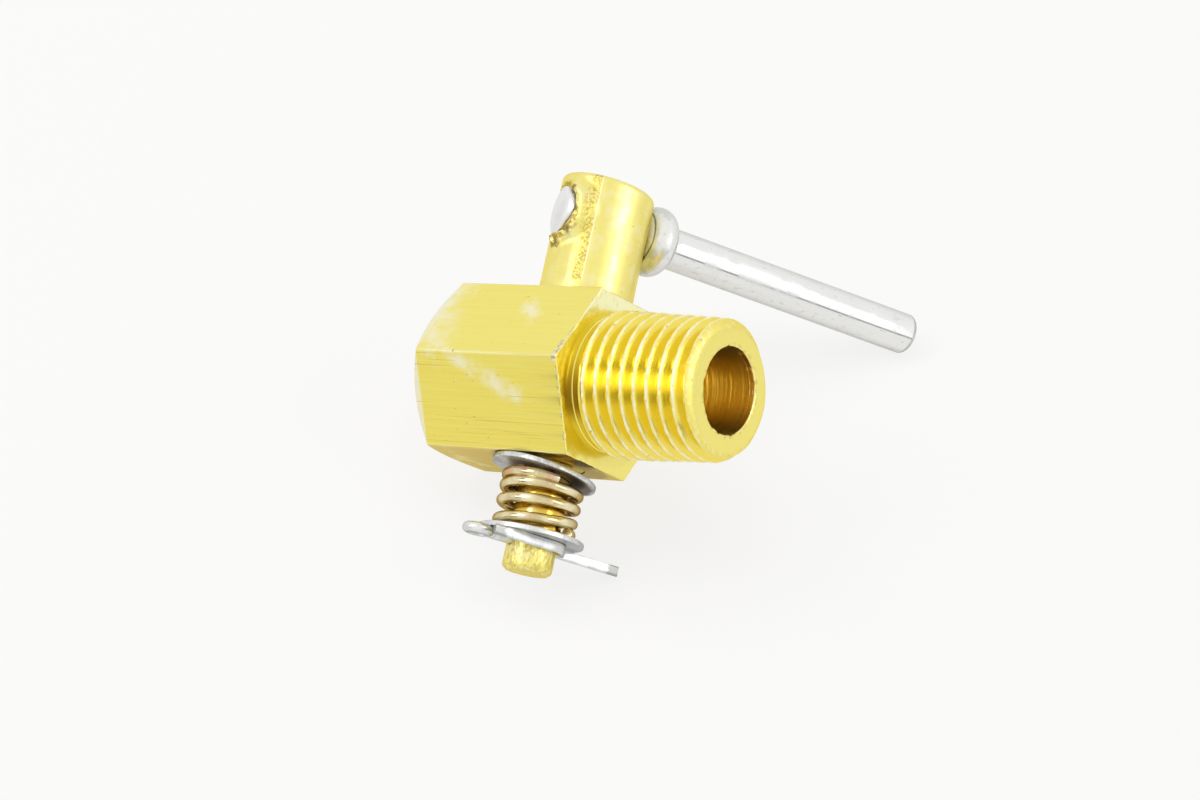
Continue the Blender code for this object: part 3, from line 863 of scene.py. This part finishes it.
def bright_zinc():
    """Bright zinc on drawn rod: faint lengthwise lines, soft blotches and small dull scuffs, with a
    painted reflection and a painted shadow line on the collar's face toward the head, and painted
    shade round the rod's end.
    """
    finish, spots = new_finish("bright_zinc")
    own = in_axes(spots, lever_place)
    lines = grain(own, 3600, 2, (1, 1, 0.03))
    blotch = grain(own, 520, 3)
    scuff = ease(grain(own, 2400, 3, (1, 1, 0.5)), 0.60, 0.70)
    drop, _, along = parts_of(own)
    rivet = 1 - ease(along, -4.45 * mm, -4.0 * mm)
    by_head = ease(along, 4.0 * mm, 4.2 * mm) * (1 - ease(along, 5.2 * mm, 6.4 * mm))
    dulled = ease(grain(own, 300, 3), 0.46, 0.60)
    colour = tint(lines * 0.5 + blotch * 0.5, (0.79, 0.795, 0.78), (0.91, 0.91, 0.895))
    colour = tint(scuff * 0.35, colour, (0.52, 0.54, 0.54))
    # The collar's face toward the head: grey blotches and less metal, partly a painted reflection in
    # place of the head's gold; a painted white reflection in a crescent next to the head, and a
    # painted shadow line beside it.
    colour = tint(by_head * ease(blotch, 0.42, 0.55) * 0.5, colour, (0.50, 0.51, 0.51))
    crescent = by_head * (1 - ease(along, 4.34 * mm, 4.38 * mm))
    colour = tint(crescent * 0.9, colour, (0.94, 0.94, 0.93))
    ragged = along + (blotch - 0.5) * 0.12 * mm
    shadow_line = ease(ragged, 4.36 * mm, 4.39 * mm) * (1 - ease(ragged, 4.42 * mm, 4.47 * mm))
    colour = tint(shadow_line * 0.8, colour, (0.10, 0.10, 0.10))
    # Painted shade: a blotchy grey rim round the rod's rounded end.
    end_rim = ease(along, 35.60 * mm, 35.80 * mm) * (1 - ease(along, 36.10 * mm, 36.19 * mm))
    colour = tint(end_rim * ease(blotch, 0.36, 0.52) * 0.7, colour, (0.40, 0.41, 0.41))
    colour = tint(rivet * 0.8, colour, (0.89, 0.89, 0.90))
    roughness = 0.07 + 0.05 * lines + 0.06 * blotch + 0.15 * scuff + 0.30 * (rivet + by_head)
    roughness = roughness + 0.20 * dulled
    relief = lines * 0.4 + blotch * 0.6 - scuff * 0.4
    give(finish, colour, roughness, relief, 0.012 * mm, (0.72, 0.72, 0.70))
    upper = 1 - ease(drop, -0.5 * mm, 1.5 * mm)
    join(finish, "Metallic", 1 - by_head * (0.7 * upper + 0.2 * crescent))
    return finish


lever.data.materials.append(bright_zinc())
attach(lever, "plug")
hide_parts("lever")


# Upper washer: stamped from zinc-plated sheet, so one rim is rolled over and the other is sharp. It
# lies on the body's flat and takes the spring's push.
washer_radius, washer_bore, washer_thick = 5.0 * mm, 2.7 * mm, 0.5 * mm
washer_top, lean_drop, side_shift = -8.04 * mm, 0.59 * mm, 0.18 * mm
lean_angle, lean_ahead, lean_aside = 0.120, 0.50, 0.87


def washer_mesh(name, top, matrix, seed):
    edge = 0.14 * mm
    profile = [(washer_bore + edge, 0), (washer_bore + 0.03 * mm, -0.05 * mm), (washer_bore, -edge),
               (washer_bore, -washer_thick), (3.4 * mm, -washer_thick), (4.2 * mm, -washer_thick),
               (washer_radius - 0.04 * mm, -washer_thick),
               (washer_radius, -washer_thick + 0.05 * mm), (washer_radius, -edge),
               (washer_radius - 0.04 * mm, -0.05 * mm), (washer_radius - edge, 0), (4.2 * mm, 0),
               (3.4 * mm, 0)]
    rings = []
    for ring in turned_rings(profile, 120):
        worn = [1 + 0.004 * noise.noise(Vector((x * 500, y * 500, seed))) for x, y, h in ring]
        rings.append([(x * w, y * w, h) for (x, y, h), w in zip(ring, worn)])
    return loft(name, rings, ring_round=True, matrix=matrix @ Matrix.Translation((0, 0, top)))


def dull_zinc(name, pale, dark, shift, speckle):
    """Barrel-plated zinc on sheet: grey mottle, rubbed bright spots and fine scratches."""
    finish, spots = new_finish(name)
    own = spots.node("ShaderNodeMapping", None, {"Vector": spots, "Location": (shift, 0, shift)})
    mottle = grain(own, 800, 3)
    fine = grain(own, 3600, 3)
    scratch = ease(grain(own, 3000, 1, (0.15, 1, 1)), 0.62, 0.70)
    colour = tint(ease(mottle, 0.3, 0.7), dark, pale)
    colour = tint(ease(fine, 0.50, 0.64) * speckle, colour, (0.93, 0.93, 0.93))
    colour = tint((1 - ease(fine, 0.34, 0.46)) * speckle, colour, (0.34, 0.34, 0.35))
    colour = tint(scratch * 0.4, colour, (0.42, 0.42, 0.43))
    roughness = 0.22 + 0.18 * mottle + 0.10 * fine
    return give(finish, colour, roughness, mottle * 0.6 + fine * 0.4 - scratch * 0.3, 0.012 * mm,
                (0.58, 0.57, 0.55))


washer_lean = Matrix.Rotation(lean_angle, 4, Vector((-lean_aside, lean_ahead, 0)))
upper_washer = put("upper_washer_zinc", washer_mesh(
    "upper_washer", 0, plug_station @ Matrix.Translation(
        (-side_shift, -side_shift, washer_top - lean_drop)) @ washer_lean, 1.3))


def plating(finish):
    """The colour that a finish has so far."""
    shader = finish.node_tree.nodes["Principled BSDF"]
    return Value(finish.node_tree, shader.inputs["Base Color"].links[0].from_socket)


def shaded_upper_zinc():
    """The upper washer's zinc, with painted shade on the inlet's side, inside the rim round the
    spring's end.
    """
    finish = dull_zinc("washer_zinc_upper", (0.78, 0.79, 0.80), (0.56, 0.57, 0.59), 0.0, 0.40)
    spots = own_points(finish)
    _, y, z = parts_of(spots)
    deep = z + plug_depth
    off = y.hypot(deep) + (grain(spots, 1500, 3) - 0.5) * 0.5 * mm
    inlet_side = ease(0.81 * deep + 0.58 * y, -0.5 * mm, 1.5 * mm)
    # Painted shade inside the rim on the inlet's side, round the spring's end.
    spring_shade = (1 - ease(off, 4.15 * mm, 4.55 * mm)) * inlet_side
    join(finish, "Base Color", tint(spring_shade * 0.85, plating(finish), (0.16, 0.13, 0.10)))
    return finish


upper_washer.data.materials.append(shaded_upper_zinc())
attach(upper_washer, "body")
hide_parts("upper_washer")


# Spring: a compression coil of yellow zinc-plated wire, cut square at both ends, which sits between
# the washers and pulls the plug into its seat. It shortens as the plug is lifted.
coil_sizes = {"Coil Radius": 3.45 * mm, "Wire Radius": 0.50 * mm, "Turns": 3.88,
              "Foot Angle": math.radians(13), "Foot Height": -14.12 * mm, "Rise": 5.04 * mm,
              "Lean": lean_angle, "Side Shift": side_shift}
coil_tree, given = shape_tree("coil_spring", "Start", coil_sizes, "Wire", "Coil")
start = Value(coil_tree)
coil_points, wire_sides = 280, 20
lean_arm, shift_aside, shift_ahead = 4.9 * mm, 0.62, 0.78
row = start.node("GeometryNodeMeshLine", None, {"Count": coil_points})
order = start.node("GeometryNodeInputIndex")
share = order / (coil_points - 1)
angle = given["Foot Angle"] + share * given["Turns"] * math.tau
climb = share.node("ShaderNodeFloatCurve", {"bends": [
    (0, 0), (0.13, 0.03), (0.211, 0.085), (0.262, 0.19), (0.36, 0.37), (0.469, 0.44),
    (0.727, 0.77), (0.985, 0.975), (1, 1)]}, {"Value": share})
ahead = given["Coil Radius"] * angle.math("COSINE", angle)
aside = given["Coil Radius"] * angle.math("SINE", angle)
lean = given["Lean"] * share * share * share
shift = given["Side Shift"]
level = given["Foot Height"] + climb * given["Rise"] - lean * (
    lean_arm + lean_ahead * ahead + lean_aside * aside)
spot = row.node("ShaderNodeCombineXYZ", None, {
    0: -1 * level, 1: aside - shift_aside * shift, 2: ahead - shift_ahead * shift - plug_depth})
placed = row.node("GeometryNodeSetPosition", None, {"Geometry": row, "Position": spot})
path = placed.node("GeometryNodeMeshToCurve", None, {"Mesh": placed})
section = start.node("GeometryNodeCurvePrimitiveCircle", None,
                     {"Resolution": wire_sides, "Radius": given["Wire Radius"]})
wire = path.node("GeometryNodeCurveToMesh", None,
                 {"Curve": path, "Profile Curve": section, "Fill Caps": True})
end_tree(wire, given["Wire"])


def yellow_zinc():
    """Yellow-passivated zinc on spring wire: straw colour with rubbed, greyer and rosier patches."""
    finish, spots = new_finish("yellow_zinc")
    patch = grain(spots, 480, 2)
    fine = grain(spots, 3800, 3)
    colour = tint(ease(patch, 0.32, 0.68), (0.66, 0.53, 0.27), (0.90, 0.82, 0.54))
    colour = tint(ease(fine, 0.52, 0.72) * 0.45, colour, (0.86, 0.84, 0.78))
    x = parts_of(spots)[0]
    rosy = ease(grain(spots, 620, 2), 0.45, 0.60) * (1 - ease(x, 9.4 * mm, 10.6 * mm))
    colour = tint(rosy * 0.55, colour, (0.72, 0.40, 0.30))
    roughness = 0.09 + 0.10 * fine + 0.05 * patch
    return give(finish, colour, roughness, fine * 0.7 + patch * 0.3, 0.010 * mm,
                (0.50, 0.38, 0.20))


spring = put("spring_wire", bpy.data.meshes.new("spring"))
wire_sharp = 50
run_tree(spring, coil_tree, {**coil_sizes, "Wire": yellow_zinc()}, wire_sharp)
weld(spring, 0.0001 * mm, wire_sharp)
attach(spring, "body")
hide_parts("spring")
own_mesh(spring)


# Lower washer: a second stamping of zinc-plated sheet, brighter than the upper one. It carries the
# spring's lower end, lies loose on the stub and rests on the pin.
lower_top, lower_shift = -14.67 * mm, Matrix.Translation((-0.24 * mm, 0.14 * mm, 0))
lower_washer = put("lower_washer_zinc", washer_mesh(
    "lower_washer", lower_top, lever_line @ lower_shift, 4.7))
lower_washer.data.materials.append(
    dull_zinc("washer_zinc_lower", (0.86, 0.87, 0.87), (0.66, 0.67, 0.68), 0.031, 0.25))
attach(lower_washer, "washer")
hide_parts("lower_washer")


# Split pin: half-round zinc-plated wire folded on its flat into an eye and two legs. It goes through
# the stub: the longer leg stays straight, the other is bent back and wrapped across the stub's front.
pin_radius, pin_gap = 0.50 * mm, 0.06 * mm


def bend(centre, radius, begin, end, count):
    return [Vector(spot) for spot in soft_edge(*centre, radius, begin, end, count)]


def pin_path():
    """The middle of the wire's flat, from the long leg's end round the eye to the tucked end."""
    half = pin_gap / 2
    eye, eye_middle = 0.95 * mm, -5.85 * mm
    neck = math.degrees(math.asin(half / eye))
    knee = pin_radius + 0.06 * mm
    tuck = stub_radius + knee
    wrap = tuck - half - knee
    path = [Vector((x * mm, half)) for x in (9.6, 9.55, 8, 6, 4, 2, 0, -2, -4)]
    path += bend((eye_middle, 0), eye, neck, 360 - neck, 48)
    path += [Vector((x * mm, -half)) for x in (-4, -2, 0, 1.5)]
    path += bend((stub_radius, -half - knee), knee, 90, 0, 12)
    path += bend((tuck - wrap, -half - knee), wrap, 0, -90, 18)[1:]
    path += [Vector((x * mm, -tuck)) for x in (-1, -3, -5.55, -5.6)]
    return path


def pin_mesh():
    section = [(pin_radius * math.sin(math.radians(a)), pin_radius * math.cos(math.radians(a)))
               for a in range(12, 180, 12)]
    section += [(pin_radius * out, pin_radius * up) for out, up in (
        (0.06, -0.95), (0, -0.86), (0, -0.4), (0, 0), (0, 0.4), (0, 0.86), (0.06, 0.95))]
    path = pin_path()
    rings = []
    for i, spot in enumerate(path):
        before = (spot - path[i - 1]).normalized() if i else None
        after = (path[i + 1] - spot).normalized() if i + 1 < len(path) else None
        along = ((before or after) + (after or before)).normalized()
        outward = Vector((along.y, -along.x)) / along.dot(after or before)
        small = 0.93 if i in (0, len(path) - 1) else 1
        rings.append([(*(spot + outward * (out * small)), up * small) for out, up in section])
    first, last = ([tuple(sum(p[k] for p in ring) / len(section) for k in range(3))]
                   for ring in (rings[0], rings[-1]))
    return loft("split_pin", [first] + rings + [last], sharp=40,
                matrix=lever_line @ Matrix.Translation((0, 0, pin_height)))


def pin_zinc():
    """The pin's zinc, broken and grey at the two sheared ends."""
    finish = dull_zinc("pin_zinc", (0.82, 0.83, 0.82), (0.60, 0.61, 0.61), 0.073, 0.15)
    spots = own_points(finish)
    along, across, _ = parts_of(in_axes(spots, lever_line))
    ragged = (grain(spots, 2600, 3) - 0.5) * 1.2 * mm
    sheared = ease(along + ragged, 8.3 * mm, 8.7 * mm)
    front = 1 - ease(across, -2.5 * mm, -2.2 * mm)
    tucked = (1 - ease(along + ragged, -4.6 * mm, -4.2 * mm)) * front
    torn = sheared.at_least(tucked)
    join(finish, "Base Color", tint(torn * 0.75, plating(finish), (0.28, 0.28, 0.26)))
    return finish


pin = put("split_pin_zinc", pin_mesh())
pin.data.materials.append(pin_zinc())
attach(pin, "plug")
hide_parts("split_pin")
